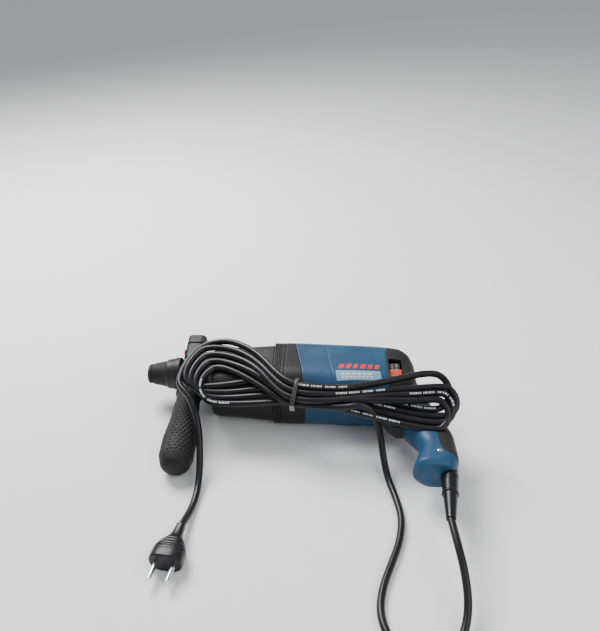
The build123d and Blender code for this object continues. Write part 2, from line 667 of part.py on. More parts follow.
def plug_pins():
    middle = PLUG_LENGTH + PIN_LENGTH / 2
    return [plug_frame() * Pos(0, side * PIN_SPACING / 2, middle) * Cylinder(PIN_R, PIN_LENGTH)
            for side in (-1, 1)]


def housing_screws():
    return [rod(FLANGE_X - 3, FLANGE_X, 3.6, y, z) + rod(FLANGE_X, 200, 2.0, y, z) for y, z in SCREW_PLACES]


def screw_tip(x):
    """How far a shell screw reaches into the left half: further in the wide housing."""
    return 11.0 if x < 310 else 6.0


def shell_screws():
    found = []
    for x, y in SHELL_SCREWS:
        found.append(post(x, y, -9, screw_tip(x), 2.0) + post(x, y, -12, -9, 3.6))
    return found


def hank_cuts():
    """What the hank rests on, grown by the gap, and the parts that move under it."""
    grown = -GAP - 0.1
    knob = post(KNOB_X, KNOB_Y, 0, KNOB_TOP_Z + 1, KNOB_R + 1)
    lock = post(LOCK_X, LOCK_Y, 0, LOCK_TOP_Z + 0.8, LOCK_R + 1)
    lever = rod(WINDOW_X[0], WINDOW_X[1], LEVER_PAD_TOP + 0.5, MOTOR_Y)
    return [hull(GEAR_SECTIONS, grown), hull(COLLAR_SECTIONS, grown), hull(BODY_SECTIONS, grown),
            grip_hull(grown), rod(40, 74, SADDLE_R + 1), rod(70, 84, COLLAR_R + 1), knob, lock, lever]


def build():
    """Every node's shape, or its list of separate solids."""
    shell = body_shell()
    cover = soft_cover()
    bundle = hank(hank_cuts())
    return {
        "gear_housing": gear_housing(), "joint_collar": joint_collar(),
        "motor_housing": motor_housing(shell), "handle_shell_left": handle_half(shell, cover, 1),
        "handle_shell_right": handle_half(shell, cover, -1), "rear_soft_cover": cover,
        "inner_flange": inner_flange(), "tool_holder": tool_holder(),
        "hammer_tube": ring(70, TUBE_END_X, TUBE_R, TUBE_BORE_R), "dust_cap": dust_cap(),
        "locking_sleeve": locking_sleeve(), "locking_balls": locking_balls(),
        "sleeve_spring": sleeve_spring(), "sleeve_stop_ring": stop_ring(),
        "front_seal": ring(49.3, 52.5, NECK_BORE_R, HOLDER_R + FIT),
        "front_bearing": ring(53, 61, NECK_BORE_R, HOLDER_R + FIT),
        "spindle_gear": gear_teeth(*SPINDLE_GEAR_X, SPINDLE_TEETH, SPINDLE_MODULE, 0, math.pi, TUBE_R),
        "tube_bush": ring(*BUSH_X, BUSH_R, TUBE_R + FIT), "piston": piston(), "piston_pin": piston_pin(),
        "striker": striker(), "striker_ring": striker_ring(), "beat_piece": beat_piece(),
        "wobble_ring": wobble_ring(), "wobble_drum": wobble_drum(),
        "intermediate_shaft": intermediate_shaft(),
        "drive_pinion": gear_teeth(*SPINDLE_GEAR_X, DRIVE_TEETH, SPINDLE_MODULE, INTER_Y,
                                   math.pi / DRIVE_TEETH, SHAFT_R),
        "driven_gear": gear_teeth(*DRIVEN_GEAR_X, DRIVEN_TEETH, MOTOR_MODULE, INTER_Y, 0, SHAFT_R),
        "intermediate_bearings": [ring(86.5, 91.8, FRONT_NEEDLE_R, RACE + FIT, INTER_Y),
                                  ring(FLANGE_X, FLANGE_X + 5, SMALL_BEARING_R, RACE + FIT, INTER_Y)],
        "armature_shaft": armature_shaft(), "armature_core": armature_core(),
        "armature_windings": armature_windings(), "commutator": commutator(), "fan": fan(),
        "motor_bearings": [ring(160, 167.5, MOTOR_BEARING_R, RACE + FIT, MOTOR_Y),
                           ring(316.4, 322.8, MOTOR_BEARING_R, RACE + FIT, MOTOR_Y)],
        "stator_core": stator_core(), "field_coils": field_coils(), "brush_plate": brush_plate(),
        "direction_levers": direction_levers(), "brushes": brushes(), "switch_module": switch_module(),
        "trigger": trigger(), "lock_button": lock_button(), "cable_clamp": cable_clamp(),
        "strain_relief": strain_relief(), "housing_screws": housing_screws(),
        "shell_screws": shell_screws(), "mode_knob": mode_knob(), "mode_button": mode_button(),
        "handle_holder": handle_holder(), "depth_button": depth_button(), "clamp_band": clamp_band(),
        "clamp_bolt": clamp_bolt(), "side_grip": side_grip(), "cord_lead": cord_tube(LEAD_POINTS),
        "cord_hank": bundle, "cord_plug_end": cord_tube(PLUG_POINTS), "cord_tie": cord_tie() - bundle,
        "plug_body": plug_body(), "plug_pins": plug_pins(),
    }


if __name__ == "__main__":
    os.makedirs("parts", exist_ok=True)
    for name, shape in build().items():
        solids = shape if isinstance(shape, list) else list(shape.solids())
        export_step(Compound(children=solids) if len(solids) > 1 else solids[0], f"parts/{name}.step")
        if len(solids) > 1:
            print(name, len(solids), [round(solid.volume) for solid in solids])
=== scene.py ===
import json
import math

import bmesh
import bpy
import numpy as np
from mathutils import Matrix, Vector

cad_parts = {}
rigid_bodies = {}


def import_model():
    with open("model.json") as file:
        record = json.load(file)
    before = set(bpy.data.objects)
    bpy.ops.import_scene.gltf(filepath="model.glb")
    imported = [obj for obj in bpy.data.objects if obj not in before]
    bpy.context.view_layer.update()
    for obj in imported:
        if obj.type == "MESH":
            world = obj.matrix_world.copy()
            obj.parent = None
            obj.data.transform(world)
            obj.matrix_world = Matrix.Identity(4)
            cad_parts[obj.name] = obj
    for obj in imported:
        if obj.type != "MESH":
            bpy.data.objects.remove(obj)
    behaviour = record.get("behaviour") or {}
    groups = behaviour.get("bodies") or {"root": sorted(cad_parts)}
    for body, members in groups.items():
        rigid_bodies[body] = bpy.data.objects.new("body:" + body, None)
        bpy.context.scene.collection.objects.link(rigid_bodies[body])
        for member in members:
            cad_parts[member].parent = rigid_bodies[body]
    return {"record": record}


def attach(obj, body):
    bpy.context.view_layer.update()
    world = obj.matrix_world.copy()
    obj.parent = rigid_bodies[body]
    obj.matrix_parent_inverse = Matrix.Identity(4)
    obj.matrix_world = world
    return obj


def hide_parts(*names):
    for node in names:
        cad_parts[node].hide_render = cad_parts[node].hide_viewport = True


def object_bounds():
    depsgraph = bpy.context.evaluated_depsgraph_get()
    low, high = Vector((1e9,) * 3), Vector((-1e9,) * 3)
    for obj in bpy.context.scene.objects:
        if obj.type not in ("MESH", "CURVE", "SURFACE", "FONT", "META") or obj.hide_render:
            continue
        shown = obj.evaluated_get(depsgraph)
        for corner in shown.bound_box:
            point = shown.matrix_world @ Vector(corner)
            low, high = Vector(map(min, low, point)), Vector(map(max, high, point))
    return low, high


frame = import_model()
cad_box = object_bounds()

MM = 0.001
MERGE = 0.00001            # metres within which two corners are one

# ---- camera ----
CAMERA_PLACE = (0.2315, -0.6943, 0.5175)
CAMERA_PITCH = 31.57       # degrees below level
CAMERA_YAW = -2.64         # degrees to the right of straight ahead
CAMERA_ROLL = -1.42
CAMERA_LENS = 37.45        # mm on a 36 mm sensor


def make_camera():
    """Camera axes from yaw and pitch, then turned about its own view line."""
    pitch, yaw, roll = (math.radians(a) for a in (CAMERA_PITCH, CAMERA_YAW, CAMERA_ROLL))
    ahead = np.array([math.sin(yaw) * math.cos(pitch), math.cos(yaw) * math.cos(pitch), -math.sin(pitch)])
    level = np.array([math.cos(yaw), -math.sin(yaw), 0.0])
    upward = np.cross(level, ahead)
    side = math.cos(roll) * level + math.sin(roll) * upward
    rise = math.cos(roll) * upward - math.sin(roll) * level
    data = bpy.data.cameras.new("view")
    data.lens = CAMERA_LENS
    data.sensor_width = 36.0
    data.clip_start = 0.05
    camera = bpy.data.objects.new("view", data)
    bpy.context.collection.objects.link(camera)
    turned = [[side[i], rise[i], -ahead[i], CAMERA_PLACE[i]] for i in range(3)] + [[0, 0, 0, 1]]
    camera.matrix_world = Matrix(turned)
    bpy.context.scene.camera = camera


make_camera()

# ---- cord route; lengths in millimetres ----
CORD_R = 4.0
CORD_REST = 0.6           # the cord stays this far above the housing
LEAD_POINTS = [(356, -240, 0), (358, -265, -3), (362, -292, -13), (362, -320, -26),
               (353, -345, -35), (333, -361, -37.5), (308, -361, -37.5), (288, -345, -37.5),
               (281, -319, -37.5), (286, -291, -37.5), (297, -264, -37.5), (308, -236, -37.4),
               (313, -207, -37.4), (309, -178, -37.3), (302, -152, -34.5), (298, -131, -23),
               (295.5, -117, -5), (291, -110, 12), (284, -103, 27)]
PLUG_POINTS = [(66, -76, 25), (73, -88, 19), (79, -101, 10), (83, -115, -2), (85, -131, -15),
               (86.5, -148, -26), (87, -166, -34), (86, -186, -36.8), (83, -207, -35), (79.5, -227, -29)]
# Middle line of the hank: x, y, z and lean in degrees.
HANK_LINE = np.array([(50, -60, 29, 14), (58, -52, 32, 15), (76, -40, 34, 16), (100, -36, 33, 18),
                      (140, -50, 34, 24), (178, -78, 34.5, 32), (202, -88, 34.5, 34), (250, -90, 33.5, 34),
                      (300, -89, 35, 30), (345, -92, 38, 27), (372, -93, 39, 26), (387, -95, 39, 26)])
# Strands cross the hank at these x; each has its height in the bundle there.
STATIONS = np.array([112.0, 146.0, 176.0, 195.5, 216.0, 252.0, 300.0, 338.0])
UPPER = {0: (0, -7, -12, -12.5, -12.5, -14), 2: (11, 1.5, -4, -4, -4, -5, -7, -8),
         4: (22, 10, -6, -8.5, -8.5, -4, -1, 0), 6: (33.5, 21, 4, 0, 0, 2, 5, 8),
         8: (45, 35, 14.5, 8.5, 8.5, 9, 16, 26)}
LOWER = {1: (-44, -32, -13, -8, -8, -13, -28, -38), 3: (-36, -22, -4, 0, 0, -4, -19, -30),
         5: (-28, -13, 2, 4.2, 4.2, 1, -12, -22), 7: (-20, -4, 10, 12.5, 12.5, 9, -3, -14)}
# At the waist the strands lie in three layers; the tips are where a bend's x is furthest out.
WAIST_LAYER = {0: 0, 1: -7, 2: 0, 3: -7, 4: 7, 5: 0, 6: 7, 7: 0, 8: 7}
WAIST = (150, 176, 216, 250)
LEFT_TIP = {0: 78.0, 2: 71.0, 4: 64.0, 6: 57.0}
RIGHT_TIP = {1: 371.0, 3: 377.0, 5: 381.5, 7: 375.0}
BULGE = 3.0                # the bends swell this far past their strands
LAST_TURN = ((88, 45), (71, 41), (59, 30), (52, 14), (51.5, -3))
CREST = 45.0               # what stands higher than this is pressed down
CREST_SQUASH = 0.09        # by this share of the height above it
LAYER = 4.1                # each of the two layers lies this far from the middle line

# Sections of the housing: x, top, bottom, half width and corner radius.
BODY_SECTIONS = np.array([(78.0, 23.5, -27.0, 23.5, 19.0), (92.0, 25.5, -58.5, 33.0, 21.0),
                          (130.0, 26.0, -61.0, 36.0, 24.0), (165.9, 27.0, -64.0, 38.5, 25.0),
                          (166.1, 30.0, -66.0, 41.5, 27.0), (187.0, 30.0, -67.0, 41.5, 27.0),
                          (225.0, 28.5, -68.0, 41.5, 28.0), (262.0, 26.5, -72.0, 41.5, 29.0),
                          (300.0, 25.0, -73.0, 39.5, 28.0), (324.0, 22.0, -72.0, 37.5, 27.0),
                          (336.0, 14.0, -66.0, 33.0, 25.0), (342.0, 3.0, -57.0, 26.0, 22.0)])


def side_height(x, y):
    """Height of the housing's upper side over a point: a rounded rectangle across X."""
    xs = BODY_SECTIONS[:, 0]
    if not xs[0] <= x <= xs[-1]:
        return -100.0
    top, bottom, half, corner = (np.interp(x, xs, BODY_SECTIONS[:, i]) for i in (1, 2, 3, 4))
    past = max(y - (top - corner), (bottom + corner) - y, 0.0)
    return half - corner + math.sqrt(corner ** 2 - past ** 2) if past < corner else -100.0


def strand_point(x, p, q):
    """Point of the hank: p along its lean, q out of its plane, never inside the housing."""
    line = [np.interp(x, HANK_LINE[:, 0], HANK_LINE[:, i]) for i in (1, 2, 3)]
    lean = math.radians(line[2])
    y = line[0] + p * math.cos(lean) - q * math.sin(lean)
    z = line[1] + p * math.sin(lean) + q * math.cos(lean)
    crowd = min(max((x - 112.0) / 34.0, 0.0), 1.0) * max(q + LAYER, 0.0)
    return (x, y, max(z, side_height(x, y) + CORD_R + CORD_REST + crowd))


def bend_points(tip, side, p_from, p_to, q_from):
    """Half a circle at an end of the hank, between two strands, from one layer to the other."""
    middle, radius = (p_from + p_to) / 2, (p_from - p_to) / 2
    radius += math.copysign(BULGE, radius)
    found = []
    for degrees in (18, 42, 66, 90, 114, 138, 162):
        angle = math.radians(degrees)
        x = tip + side * abs(radius) * (1 - math.sin(angle))
        found.append(strand_point(x, middle + radius * math.cos(angle), q_from * math.cos(angle)))
    return found


def cord_route():
    """Lead, then strands 0 to 8 of the hank with a bend between each, then the plug's end."""
    route = LEAD_POINTS + [(270, -103, 33)]
    for number in range(9):
        heights = UPPER.get(number) or LOWER[number]
        layer = LAYER if number in UPPER else -LAYER
        tied = WAIST_LAYER[number]
        run = [strand_point(x, p, np.interp(x, WAIST, (layer, tied, tied, layer)))
               for x, p in zip(STATIONS, heights)]
        if number in UPPER:
            run.reverse()
        route += run
        if number in LEFT_TIP:
            route += bend_points(LEFT_TIP[number], 1, UPPER[number][0], LOWER[number + 1][0], LAYER)
        elif number in RIGHT_TIP:
            route += bend_points(RIGHT_TIP[number], -1, LOWER[number][-1], UPPER[number + 1][-1], -LAYER)
    route += [strand_point(x, p, 1.0) for x, p in LAST_TURN]
    return [(x, y, min(z, z + (CREST - z) * CREST_SQUASH)) for x, y, z in route + PLUG_POINTS]


def cord_spline(name, points, resolution):
    """Curve data with one open NURBS spline of order 3 over the route's control points."""
    data = bpy.data.curves.new(name, "CURVE")
    data.dimensions = "3D"
    spline = data.splines.new("NURBS")
    spline.points.add(len(points) - 1)
    for target, place in zip(spline.points, points):
        target.co = (*(value * MM for value in place), 1.0)
    spline.order_u = 3
    spline.use_endpoint_u = True
    spline.resolution_u = resolution
    return data


def spline_line(points, name, resolution=8):
    """Points in millimetres along the cord's middle line, read from a spline that is then removed."""
    data = cord_spline(name, points, resolution)
    holder = bpy.data.objects.new(name, data)
    bpy.context.collection.objects.link(holder)
    bpy.context.view_layer.update()
    mesh = bpy.data.meshes.new_from_object(holder)
    line = np.zeros(len(mesh.vertices) * 3)
    mesh.vertices.foreach_get("co", line)
    bpy.data.objects.remove(holder)
    bpy.data.curves.remove(data)
    bpy.data.meshes.remove(mesh)
    return line.reshape(-1, 3) / MM


def glide(x, xs, ys):
    """Smooth curve through points: cubic pieces, each slope the harmonic mean of its neighbours' steps."""
    x = np.asarray(x, float)
    steps = np.diff(ys) / np.diff(xs)
    slopes = np.zeros(len(xs))
    product = steps[:-1] * steps[1:]
    rising = product > 0
    slopes[1:-1][rising] = 2 * product[rising] / (steps[:-1] + steps[1:])[rising]
    slopes[0], slopes[-1] = steps[0], steps[-1]
    cell = np.clip(np.searchsorted(xs, x) - 1, 0, len(xs) - 2)
    width = xs[cell + 1] - xs[cell]
    t = np.clip((x - xs[cell]) / width, 0, 1)
    return ((1 + 2 * t) * (1 - t) ** 2 * ys[cell] + t * (1 - t) ** 2 * width * slopes[cell]
            + t * t * (3 - 2 * t) * ys[cell + 1] + t * t * (t - 1) * width * slopes[cell + 1])


# ---- meshes; every length is in millimetres ----
def add_piece(name, points, faces, material, body="housing", replaces=(),
              sharp=40.0):
    """Mesh object at the origin, with outward normals, riding on a body."""
    mesh = bpy.data.meshes.new(name)
    corners = [tuple(map(int, face)) for face in faces]
    mesh.from_pydata((np.asarray(points, float) * MM).tolist(), [], corners)
    shape = bmesh.new()
    shape.from_mesh(mesh)
    bmesh.ops.remove_doubles(shape, verts=shape.verts, dist=MERGE)
    bmesh.ops.recalc_face_normals(shape, faces=shape.faces)
    shape.to_mesh(mesh)
    shape.free()
    mesh.shade_smooth()
    mesh.set_sharp_from_angle(angle=math.radians(sharp))
    mesh.materials.append(material)
    piece = bpy.data.objects.new(name, mesh)
    bpy.context.collection.objects.link(piece)
    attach(piece, body)
    if replaces:
        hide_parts(*replaces)
    return piece


def walled(outer, inner, wrap, hole=None):
    """Closed shell between two grids: outer quads, inner quads turned round, a rim on every free edge."""
    rows, columns = outer.shape[:2]
    keep = np.ones((rows - 1, columns if wrap else columns - 1), bool)
    if hole is not None:
        keep &= ~hole
    row, column = np.nonzero(keep)
    after = (column + 1) % columns
    count = rows * columns
    corners = [row * columns + column, row * columns + after, (row + 1) * columns + after,
               (row + 1) * columns + column]
    quads = np.stack(corners, 1)
    edges = np.concatenate([np.stack([corners[i], corners[(i + 1) % 4]], 1) for i in range(4)])
    key = np.sort(edges, axis=1) @ np.array([2 * count, 1])
    index, times = np.unique(key, return_index=True, return_counts=True)[1:]
    free = edges[index[times == 1]]
    rim = np.stack([free[:, 1], free[:, 0], free[:, 0] + count, free[:, 1] + count], 1)
    points = np.concatenate([outer.reshape(-1, 3), inner.reshape(-1, 3)])
    return points, np.concatenate([quads, quads[:, ::-1] + count, rim])


def solid(rings):
    """Closed solid from rings of points: quads round the sides and a face at each end."""
    rows, columns = rings.shape[:2]
    row, column = np.divmod(np.arange((rows - 1) * columns), columns)
    after = (column + 1) % columns
    quads = np.stack([row * columns + column, row * columns + after, (row + 1) * columns + after,
                      (row + 1) * columns + column], 1)
    ends = [list(range(columns)), list(range((rows - 1) * columns, rows * columns))]
    return rings.reshape(-1, 3), quads.tolist() + ends


def joined(*parts):
    """Several point and face lists as one."""
    points, faces, count = [], [], 0
    for part_points, part_faces in parts:
        points.append(part_points)
        faces += [[int(corner) + count for corner in face] for face in part_faces]
        count += len(part_points)
    return np.concatenate(points), faces


def lathe(profile, around, place):
    """Profile of distance and radius turned round an axis: across = radius cos, over = radius sin.

    place maps (distance, across, over) to the part."""
    profile = np.asarray(profile, float)
    turn = np.linspace(0, 2 * np.pi, around, endpoint=False)[None, :]
    radius = profile[:, 1][:, None]
    return place(profile[:, 0][:, None] + 0 * turn, radius * np.cos(turn), radius * np.sin(turn))


def spindle_place(y):
    """Placement for turned pieces on an axis along X at height y."""
    return lambda along, across, over: np.stack([along, y + across, over], -1)


# ---- the housing's surface ----
GEAR_PART, MOTOR_PART = BODY_SECTIONS[:4], BODY_SECTIONS[4:]
RING_MARKS = (0.0, 0.09, 0.19, 0.31, 0.41, 0.5)
WALL = 2.6


def box_ring(top, bottom, half, corner, turn):
    """Rounded rectangle: turn 0 at the belly, 0.5 at the top; each flat and quarter arc has its share."""
    fold = np.where(turn > 0.5, 1 - turn, turn)
    belly, low, side, high, crown = (np.clip((fold - a) / (b - a), 0, 1)
                                     for a, b in zip(RING_MARKS, RING_MARKS[1:]))
    quarter = np.pi / 2
    y = (bottom + corner * (1 - np.cos(low * quarter)) + side * (top - bottom - 2 * corner)
         + corner * np.sin(high * quarter))
    z = ((half - corner) * (belly - crown) + corner * np.sin(low * quarter)
         - corner * (1 - np.cos(high * quarter)))
    return y, np.where(turn > 0.5, -z, z)


def casing(front, back, turns, sections, depth=0.0, rows=40, edge=0.5, relief=None):
    """Grid over the housing between two borders, whose X may change with height.

    Rows are spread between the borders, with two close rows at each end that sink by edge;
    a point's Y and Z come from the rounded rectangle at its own X, moved in by depth and out by relief."""
    turns = np.asarray(turns)[None, :]
    middle = np.linspace(0, 1, rows)
    share = np.concatenate([[0, 0], middle, [1, 1]])[:, None]
    lead = np.concatenate([[0, 0.3], 1.0 - 2.0 * middle, [-0.3, 0]])[:, None]
    sunk = np.concatenate([[1, 0.3], 0 * middle, [0.3, 1]])[:, None] * edge
    y = 0 * share * turns
    for _ in range(4):
        x = front(y) * (1 - share) + back(y) * share + lead
        top, bottom, half, corner = (glide(x, sections[:, 0], sections[:, i]) for i in (1, 2, 3, 4))
        inset = depth + sunk * (depth == 0) - (relief(x, y) if relief and depth == 0 else 0)
        y, z = box_ring(top - inset, bottom + inset, half - inset, corner - inset, turns)
    return np.stack([x, y, z], -1)


def closed_end(grid, reach, scales):
    """More rows that draw the last ring in to its middle while moving it along X by reach."""
    centre = grid[-1].mean(axis=0)
    rows = [centre + (grid[-1] - centre) * scale + (reach * math.sqrt(1 - scale ** 2), 0, 0)
            for scale in scales]
    return np.concatenate([grid, np.array(rows)])


def straight(x):
    """Border with the same X at every height."""
    return lambda y: x + 0 * y


def slanted(x_top, y_top, slope):
    """Border whose X grows by slope for each millimetre down from y_top."""
    return lambda y: x_top + (y_top - y) * slope


GEAR_X = (78.0, 165.8)
COLLAR_START = 166.0
COLLAR_BORDER = slanted(190.0, 25.0, 0.17)
SEAM_BORDER = slanted(228.0, 30.0, 0.134)
COVER_END = 341.5
COVER_EDGE = 306.8
NECK_BORE = 18.2
NECK_R = 21.5
FULL_TURN = np.linspace(0, 1, 160, endpoint=False)
LEFT_TURN = np.linspace(0, 0.5, 81)
RIGHT_TURN = np.linspace(0.5, 1.0, 81)
CLOSING = (0.97, 0.9, 0.78, 0.6, 0.38, 0.16, 0.02)


def gear_case(finish):
    """Black front casing: smooth loft, nose drawn in to the neck, and the clamping neck itself."""
    def shape(depth):
        grid = casing(straight(GEAR_X[0]), straight(GEAR_X[1]), FULL_TURN, GEAR_PART, depth, rows=60,
                      relief=case_ribs)
        return closed_end(grid[::-1], -2.0 + depth, (0.98, 0.93, 0.87))[::-1]
    neck = solid_ring([(48.4, NECK_BORE), (48.4, NECK_R - 0.7), (49.1, NECK_R), (80.0, NECK_R),
                       (80.0, NECK_BORE)], 0.0)
    points, faces = joined(walled(shape(0.0), shape(WALL), True), neck)
    add_piece("gear_case", points, faces, finish, replaces=["gear_housing"])


def case_ribs(x, y):
    """Shallow lengthwise flutes on the gear casing's sides, fading out at both ends."""
    fade = np.clip((x - 96) / 10, 0, 1) * np.clip((158 - x) / 6, 0, 1)
    return -0.5 * fade * np.clip(np.sin(y * 0.9), 0.55, 1.0) * (np.abs(y + 18) < 22)


def solid_ring(profile, y, around=96):
    """Closed ring turned about an axis along X: the profile is a closed outline."""
    grid = lathe(profile, around, spindle_place(y))
    rows, columns = grid.shape[:2]
    row, column = np.divmod(np.arange(rows * columns), columns)
    after, below = (column + 1) % columns, (row + 1) % rows
    quads = np.stack([row * columns + column, row * columns + after, below * columns + after,
                      below * columns + column], 1)
    return grid.reshape(-1, 3), quads


def collar_grooves(x, y):
    """Four narrow grooves across the collar's front, and a wider one behind them."""
    grooves = sum(np.exp(-((x - centre) / 0.45) ** 4) for centre in (169.0, 171.2, 173.4, 175.6))
    return -0.7 * grooves - 0.5 * np.exp(-((x - 180.5) / 0.8) ** 4)


def collar_case(finish):
    """Black grooved collar between the gear casing and the blue housing, one wall thick."""
    def shape(depth):
        return casing(straight(COLLAR_START), COLLAR_BORDER, FULL_TURN, MOTOR_PART, depth, rows=110,
                      edge=1.0, relief=collar_grooves)
    points, faces = walled(shape(0.0), shape(WALL), True)
    add_piece("collar_case", points, faces, finish, replaces=["joint_collar"])


def motor_case(finish):
    """Blue motor housing between the slanted collar border and the slanted seam."""
    def shape(depth):
        return casing(COLLAR_BORDER, SEAM_BORDER, FULL_TURN, MOTOR_PART, depth, rows=40)
    points, faces = walled(shape(0.0), shape(WALL), True)
    add_piece("motor_case", points, faces, finish, replaces=["motor_housing"])


WINDOW_X = (309.0, 325.0)
WINDOW_Y = (-54.0, -20.0)
MOTOR_Y = -18.125          # the motor's axis, about which the direction lever turns
SCALE_R = (31.6, 32.8)
MARKS_R = (32.7, 33.5)


def cover_front(y):
    """Front edge of the rubber cover: upright, leaning back above the window."""
    return COVER_EDGE + np.clip(y + 10, 0, 40) * 0.17


# ---- the grip ----
# Sections down the grip: x and y of its front, x and y of its rear, and half its width.
GRIP_SECTIONS = np.array([(300, -56, 347, -30, 22), (305, -82, 356, -64, 19.5), (321, -114, 369, -100, 17),
                          (336, -142, 377, -132, 17.5), (330, -163, 377, -158, 19),
                          (325.5, -174, 374, -172, 20), (331, -181, 370, -180.9, 17)], float)
GRIP_STEPS = np.array([0, 0.2, 0.44, 0.64, 0.8, 0.91, 1.0])
# Share of the way round at which the rubber back starts, at each section.
RUBBER_EDGE = np.array([0.20, 0.234, 0.262, 0.247, 0.30, 0.45, 0.499])


def grip_grid(turn_from, turn_to, depth=0.0, rows=70, columns=48, end=1.0, relief=None):
    """Grid over the grip: stations glide down it, columns run between two borders round it.

    A section is a rounded rectangle in the plane through its front and rear points."""
    step = np.linspace(0, end, rows)[:, None]
    front_x, front_y, rear_x, rear_y, half = (glide(step, GRIP_STEPS, GRIP_SECTIONS[:, i])
                                              for i in range(5))
    length = np.hypot(rear_x - front_x, rear_y - front_y)
    share = np.linspace(0, 1, columns)[None, :]
    turn = turn_from(step) * (1 - share) + turn_to(step) * share
    inset = depth - (relief(step, turn) if relief and depth == 0 else 0)
    corner = np.minimum(half * 0.9, length * 0.45)
    along, z = box_ring(length / 2 - inset, inset - length / 2, half - inset, corner - inset, turn % 1.0)
    x = (front_x + rear_x) / 2 + along * (rear_x - front_x) / length
    y = (front_y + rear_y) / 2 + along * (rear_y - front_y) / length
    return np.stack([x, y, z], -1)


def rubber_edge(step):
    """Share of the way round from the grip's front to the edge of its rubber back."""
    return glide(step, GRIP_STEPS, RUBBER_EDGE)


FOOT_CENTRE = (350.0, -181.0, 0.0)
GRIP_BACK_END = 0.93       # the rubber back stops at this share of the grip's length


def foot_closed(grid):
    """The grip's foot, drawn in to its middle below the last station."""
    centre = np.array(FOOT_CENTRE)
    rows = [centre + (grid[-1] - centre) * scale + (0, -1.2 * math.sqrt(1 - scale ** 2), 0)
            for scale in (0.96, 0.88, 0.7, 0.4, 0.02)]
    return np.concatenate([grid, np.array(rows)])


def handle_shells(finish):
    """Blue clamshells behind the seam: each has its half of the housing and of the grip's front."""
    halves = (("left", LEFT_TURN, lambda s: 0 * s, rubber_edge),
              ("right", RIGHT_TURN, lambda s: -rubber_edge(s), lambda s: 0 * s))
    for side, turns, turn_from, turn_to in halves:
        body = walled(casing(SEAM_BORDER, cover_front, turns, MOTOR_PART, rows=50),
                      casing(SEAM_BORDER, cover_front, turns, MOTOR_PART, WALL, rows=50), False)
        grip = walled(foot_closed(grip_grid(turn_from, turn_to)),
                      foot_closed(grip_grid(turn_from, turn_to, WALL)) + (0, WALL * 0.5, 0), False)
        points, faces = joined(body, grip)
        add_piece(f"handle_case_{side}", points, faces, finish,
                  replaces=[f"handle_shell_{side}"])


def rubber_ribs(step, turn):
    """Cross ribs on the grip's rubber back, strongest in the middle of it."""
    middle = np.exp(-((turn - 0.5) / 0.09) ** 4) * np.clip((step - 0.22) / 0.06, 0, 1)
    return 0.45 * middle * np.clip(np.sin(step * 190), -0.3, 0.6) * np.clip((0.74 - step) / 0.05, 0, 1)


def rear_cover(finish):
    """Rubber cover: back of the housing with both lever windows, and the grip's ribbed back."""
    turns = np.linspace(0, 1, 200, endpoint=False)
    outer = casing(cover_front, straight(COVER_END), turns, MOTOR_PART, rows=46)
    inner = casing(cover_front, straight(COVER_END), turns, MOTOR_PART, WALL, rows=46)
    x = (outer[:-1, :, 0] + outer[1:, :, 0]) / 2
    y = (outer[:-1, :, 1] + np.roll(outer, -1, axis=1)[:-1, :, 1]) / 2
    left = (y > WINDOW_Y[0]) & (y < WINDOW_Y[1]) & (outer[:-1, :, 2] > 15)
    right = (y > 2 * MOTOR_Y - WINDOW_Y[1]) & (y < 2 * MOTOR_Y - WINDOW_Y[0]) & (outer[:-1, :, 2] < -15)
    hole = (left | right) & (x > WINDOW_X[0]) & (x < WINDOW_X[1])
    closing = np.zeros((len(CLOSING), hole.shape[1]), bool)
    back = walled(closed_end(outer, 3.0, CLOSING), closed_end(inner, 1.0, CLOSING), True,
                  np.concatenate([hole, closing]))
    def back_grid(depth, relief):
        return grip_grid(rubber_edge, lambda s: 1 - rubber_edge(s), depth, rows=220, end=GRIP_BACK_END,
                         relief=relief)
    grip = walled(back_grid(0.0, rubber_ribs), back_grid(WALL, None), False)
    points, faces = joined(back, grip)
    add_piece("rear_cover", points, faces, finish, replaces=["rear_soft_cover"])


def lever_scale(plate_finish, mark_finish):
    """Curved plate behind the direction lever with raised bars; it turns with the brush plate.

    Each block is a rectangle of X and radius carried along an arc about the motor's axis."""
    def arc_block(x_from, x_to, radii, degrees_from, degrees_to):
        angle = np.radians(np.linspace(degrees_from, degrees_to, 24))[:, None]
        x = np.array([x_from, x_to, x_to, x_from])[None, :]
        radius = np.array([radii[0], radii[0], radii[1], radii[1]])[None, :]
        y = MOTOR_Y - radius * np.sin(angle)
        return solid(np.stack([x + 0 * angle, y, radius * np.cos(angle)], -1))
    points, faces = arc_block(WINDOW_X[0] + 1.5, WINDOW_X[1] - 1.5, SCALE_R, 4, 31)
    add_piece("lever_scale", points, faces, plate_finish, body="brush_plate")
    bars = [arc_block(left, left + 3.5, MARKS_R, degrees, degrees + 3)
            for left in (312.0, 317.5) for degrees in (9, 15, 21)]
    points, faces = joined(*bars)
    add_piece("lever_marks", points, faces, mark_finish, body="brush_plate")


# ---- marks on the left side ----
def side_patch(outline_x, outline_y, rise=0.25, cells=24):
    """Thin plate that follows the housing's side: outline_x(u, v) and outline_y(u, v) on a unit grid.

    Z is the rounded rectangle's height at each X and Y, plus rise."""
    u, v = np.meshgrid(np.linspace(0, 1, cells), np.linspace(0, 1, 8), indexing="ij")
    x, y = outline_x(u, v), outline_y(u, v)
    top, bottom, half, corner = (glide(x, MOTOR_PART[:, 0], MOTOR_PART[:, i]) for i in (1, 2, 3, 4))
    past = np.clip(np.maximum(y - (top - corner), bottom + corner - y), 0, corner * 0.99)
    z = half - corner + np.sqrt(corner ** 2 - past ** 2)
    grid = np.stack([x, y, z + rise], -1)
    return walled(grid, grid - (0, 0, rise + 0.4), False)


